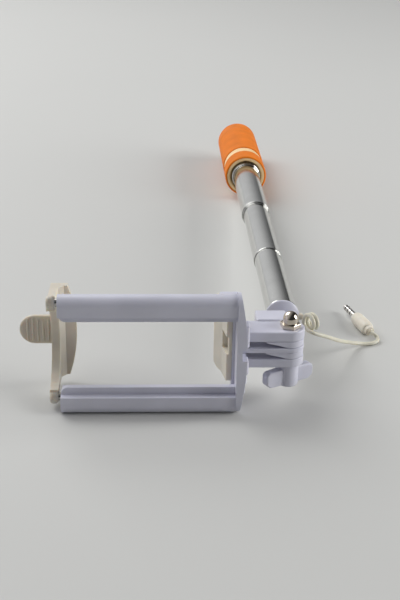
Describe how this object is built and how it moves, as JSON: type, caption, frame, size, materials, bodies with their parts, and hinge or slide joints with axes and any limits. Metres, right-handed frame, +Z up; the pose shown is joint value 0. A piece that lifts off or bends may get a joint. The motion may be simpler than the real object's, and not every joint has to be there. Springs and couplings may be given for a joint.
{
  "type": "selfie stick",
  "caption": "Telescopic selfie stick with a soft-gripped handle, tilting neck, sprung phone clamp on two rods, and a curly lead with a jack plug.",
  "frame": {"origin": "middle of the stick's footprint, on the table it lies on", "axes": "+X along the clamp's bars towards the hinge, +Y along the stick towards the handle (leaned down by the lean that lets it lie on the lower bar and the handle's rear edge), +Z up"},
  "size_m": [0.1929, 0.3952, 0.0631],
  "materials": {
    "clamp_plastic": "moulded, satin gloss, pale lavender white",
    "jaw_plastic": "moulded, translucent cream",
    "tube_chrome": "drawn and plated",
    "nut_nickel": "turned and nickel plated",
    "steel": "drawn wire and turned screws",
    "pom_white": "turned acetal",
    "grip_orange": "dense foam, fine skin",
    "cap_orange": "moulded rubber",
    "core_cream": "moulded",
    "cord_cream": "extruded soft sheath",
    "plug_cream": "moulded soft plastic",
    "plug_nickel": "turned and plated",
    "insulator": "moulded",
    "board_green": "glass fibre laminate",
    "switch_black": "moulded",
    "button_white": "moulded",
    "silicone": "moulded silicone"
  },
  "bodies": {
    "handle": {"tube_o": "tube_chrome", "handle_core": "core_cream", "grip_ring": "grip_orange", "grip_sleeve": "grip_orange", "end_cap": "cap_orange", "end_cap_screw": "steel", "mouth_collar": "tube_chrome", "circuit_board": "board_green", "tact_switch": "switch_black", "board_screws": "steel", "board_cable": "cord_cream", "cable_anchor": "pom_white", "inner_cable": "cord_cream", "button_dome": "silicone"},
    "button": {"shutter_button": "button_white"},
    "tube_a": {"tube_a": "tube_chrome", "tube_a_shim": "pom_white"},
    "tube_m": {"tube_m": "tube_chrome", "tube_m_shim": "pom_white"},
    "tube_b": {"tube_b": "tube_chrome", "tube_b_shim": "pom_white"},
    "tube_c": {"tube_c": "tube_chrome", "tube_c_shim": "pom_white", "neck_block": "clamp_plastic", "cord_gland": "plug_cream", "cord_stub": "cord_cream", "cord_coil": "cord_cream", "cord_lead": "cord_cream", "plug_relief": "plug_cream", "plug_body": "plug_cream", "plug_pin": "plug_nickel", "plug_insulators": "insulator"},
    "clamp": {"hinge_bracket": "clamp_plastic", "upper_bar": "clamp_plastic", "lower_bar": "clamp_plastic", "upper_rod_bush": "pom_white", "lower_rod_bush": "pom_white", "upper_spring": "steel", "lower_spring": "steel", "fixed_jaw": "jaw_plastic", "fixed_jaw_screws": "steel", "dome_nut": "nut_nickel"},
    "jaw": {"sliding_jaw": "jaw_plastic", "upper_rod": "steel", "lower_rod": "steel", "rod_screws": "steel"},
    "knob": {"wing_knob": "clamp_plastic", "hinge_bolt": "steel"}
  },
  "joints": [
    {"name": "fourth_section_slide", "type": "slide", "parent": "handle", "child": "tube_a", "axis": [0, 0.9991, -0.0415], "range_m": [0, 0.067], "deforming": ["inner_cable"]},
    {"name": "third_section_slide", "type": "slide", "parent": "tube_a", "child": "tube_m", "axis": [0, 0.9991, -0.0415], "range_m": [-0.074, 0], "deforming": ["inner_cable"]},
    {"name": "second_section_slide", "type": "slide", "parent": "tube_m", "child": "tube_b", "axis": [0, 0.9991, -0.0415], "range_m": [0, 0.075], "deforming": ["inner_cable"]},
    {"name": "first_section_slide", "type": "slide", "parent": "tube_b", "child": "tube_c", "axis": [0, 0.9991, -0.0415], "range_m": [0, 0.077], "deforming": ["inner_cable"]},
    {"name": "clamp_tilt", "type": "hinge", "parent": "tube_c", "child": "clamp", "pos_m": [0.05965, -0.18011, 0.03062], "axis": [0, 0.0415, 0.9991], "range_deg": [-35, 175]},
    {"name": "knob_turn", "type": "hinge", "parent": "clamp", "child": "knob", "pos_m": [0.05965, -0.18011, 0.03062], "axis": [0, 0.0415, 0.9991], "range_deg": [-30, 330]},
    {"name": "jaw_slide", "type": "slide", "parent": "clamp", "child": "jaw", "axis": [-1, 0, 0], "range_m": [0, 0.027], "stiffness_N_per_m": 200, "springref_m": -0.02, "deforming": ["upper_spring", "lower_spring"]},
    {"name": "button_press", "type": "slide", "parent": "handle", "child": "button", "axis": [0, 0.0415, 0.9991], "range_m": [0, 0.0005], "stiffness_N_per_m": 500, "springref_m": -0.001, "deforming": ["button_dome"]}
  ]
}
